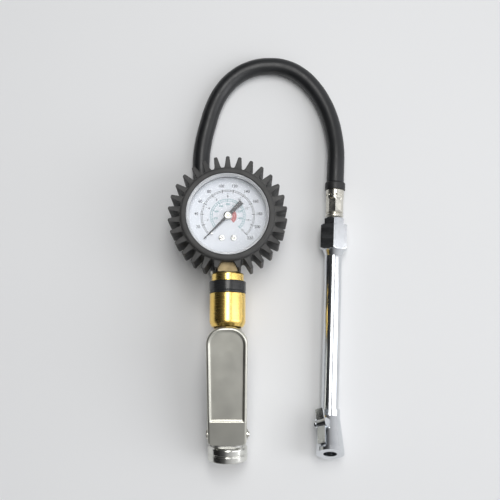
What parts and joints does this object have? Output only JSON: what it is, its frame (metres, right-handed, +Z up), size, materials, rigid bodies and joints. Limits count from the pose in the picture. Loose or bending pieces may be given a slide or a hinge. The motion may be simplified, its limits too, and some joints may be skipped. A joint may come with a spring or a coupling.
{
  "type": "tyre inflator with gauge",
  "caption": "Trigger gun with a round dial gauge in a lugged rubber boot, a squeeze lever, and a hose that ends in a long tube and an angled clip-on chuck.",
  "frame": {"origin": "on the resting surface, under the middle of the gun's length and width; the hose and chuck are left out of that middle", "axes": "+X across the gun towards the chuck, +Y from the grip's butt to the gauge, +Z up, out of the dial's face"},
  "size_m": [0.1298, 0.3034, 0.0533],
  "materials": {
    "boot_rubber": "matte charcoal moulded rubber",
    "case_steel": "zinc-plated pressed steel",
    "clear_window": "clear polycarbonate",
    "black_rubber": "smooth black rubber",
    "dial_white": "white enamel dial",
    "bright_steel": "plated steel",
    "pointer_black": "black painted aluminium",
    "plain_brass": "machined brass",
    "gold_brass": "polished gold-coloured brass",
    "band_plastic": "black moulded band",
    "grip_alloy": "die-cast alloy, satin plated",
    "lever_nickel": "satin nickel plate",
    "chrome_plate": "bright chrome plate",
    "hose_rubber": "black rubber hose"
  },
  "bodies": {
    "gun": {"rubber_boot": "boot_rubber", "gauge_case": "case_steel", "gauge_lens": "clear_window", "lens_gasket": "black_rubber", "dial_plate": "dial_white", "dial_screws": "bright_steel", "stop_pin": "bright_steel", "bourdon_tube": "plain_brass", "tube_tip": "plain_brass", "hairspring": "bright_steel", "back_plate": "plain_brass", "front_plate": "plain_brass", "plate_pillars": "plain_brass", "plate_screws": "bright_steel", "gauge_socket": "plain_brass", "stem_washer": "plain_brass", "cap_ring": "gold_brass", "neck_band": "band_plastic", "barrel": "gold_brass", "barrel_oring": "black_rubber", "hose_port": "plain_brass", "port_ferrule": "bright_steel", "grip": "grip_alloy", "inlet_bush": "plain_brass", "inlet_screen": "bright_steel", "valve_gland": "plain_brass", "gland_oring": "black_rubber", "valve_spring": "bright_steel", "valve_cap": "plain_brass", "lever_pin": "chrome_plate", "pin_clip": "bright_steel", "hose": "hose_rubber", "hose_collar": "black_rubber", "hose_ferrule": "bright_steel", "hose_nut": "chrome_plate", "chuck_hex": "chrome_plate", "chuck_tube": "chrome_plate", "chuck_head": "chrome_plate", "chuck_seal": "black_rubber", "core_pin": "plain_brass", "clip_pin": "chrome_plate", "clip_spring": "bright_steel"},
    "pointer": {"pointer": "pointer_black", "pinion_shaft": "plain_brass"},
    "sector": {"sector_gear": "plain_brass"},
    "link": {"link": "plain_brass"},
    "lever": {"trigger_lever": "lever_nickel"},
    "valve": {"valve_pin": "bright_steel", "valve_seal": "black_rubber"},
    "clip": {"clip_lever": "chrome_plate"}
  },
  "joints": [
    {"name": "lever_press", "type": "hinge", "parent": "gun", "child": "lever", "pos_m": [0, -0.08657, 0.02235], "axis": [1, 0, 0], "range_deg": [-4, 0], "stiffness_Nm_per_rad": 0.3, "springref_deg": 14.32},
    {"name": "valve_push", "type": "slide", "parent": "gun", "child": "valve", "axis": [0, -0.1959, 0.9806], "range_m": [-0.0041, 0], "deforming": ["valve_spring"]},
    {"name": "sector_turn", "type": "hinge", "parent": "gun", "child": "sector", "pos_m": [-0.01278, 0.06032, 0], "axis": [0, 0, 1], "range_deg": [0, 36], "stiffness_Nm_per_rad": 0.0005, "springref_deg": -5.73},
    {"name": "pointer_turn", "type": "hinge", "parent": "gun", "child": "pointer", "pos_m": [0, 0.06497, 0], "axis": [0, 0, 1], "range_deg": [-270, 0]},
    {"name": "link_swing", "type": "hinge", "parent": "sector", "child": "link", "pos_m": [-0.01317, 0.0648, 0], "axis": [0, 0, 1], "range_deg": [-36, 0]},
    {"name": "clip_open", "type": "hinge", "parent": "gun", "child": "clip", "pos_m": [0.06582, -0.07895, 0.0195], "axis": [0.8273, 0.1962, 0.5264], "range_deg": [-12, 0], "stiffness_Nm_per_rad": 0.02, "springref_deg": 17.19}
  ],
  "couplings": [
    {"joint": "valve_push", "follows": "lever_press", "m_per_rad": 0.058},
    {"joint": "pointer_turn", "follows": "sector_turn", "ratio": -7.5},
    {"joint": "link_swing", "follows": "sector_turn", "ratio": -1}
  ]
}
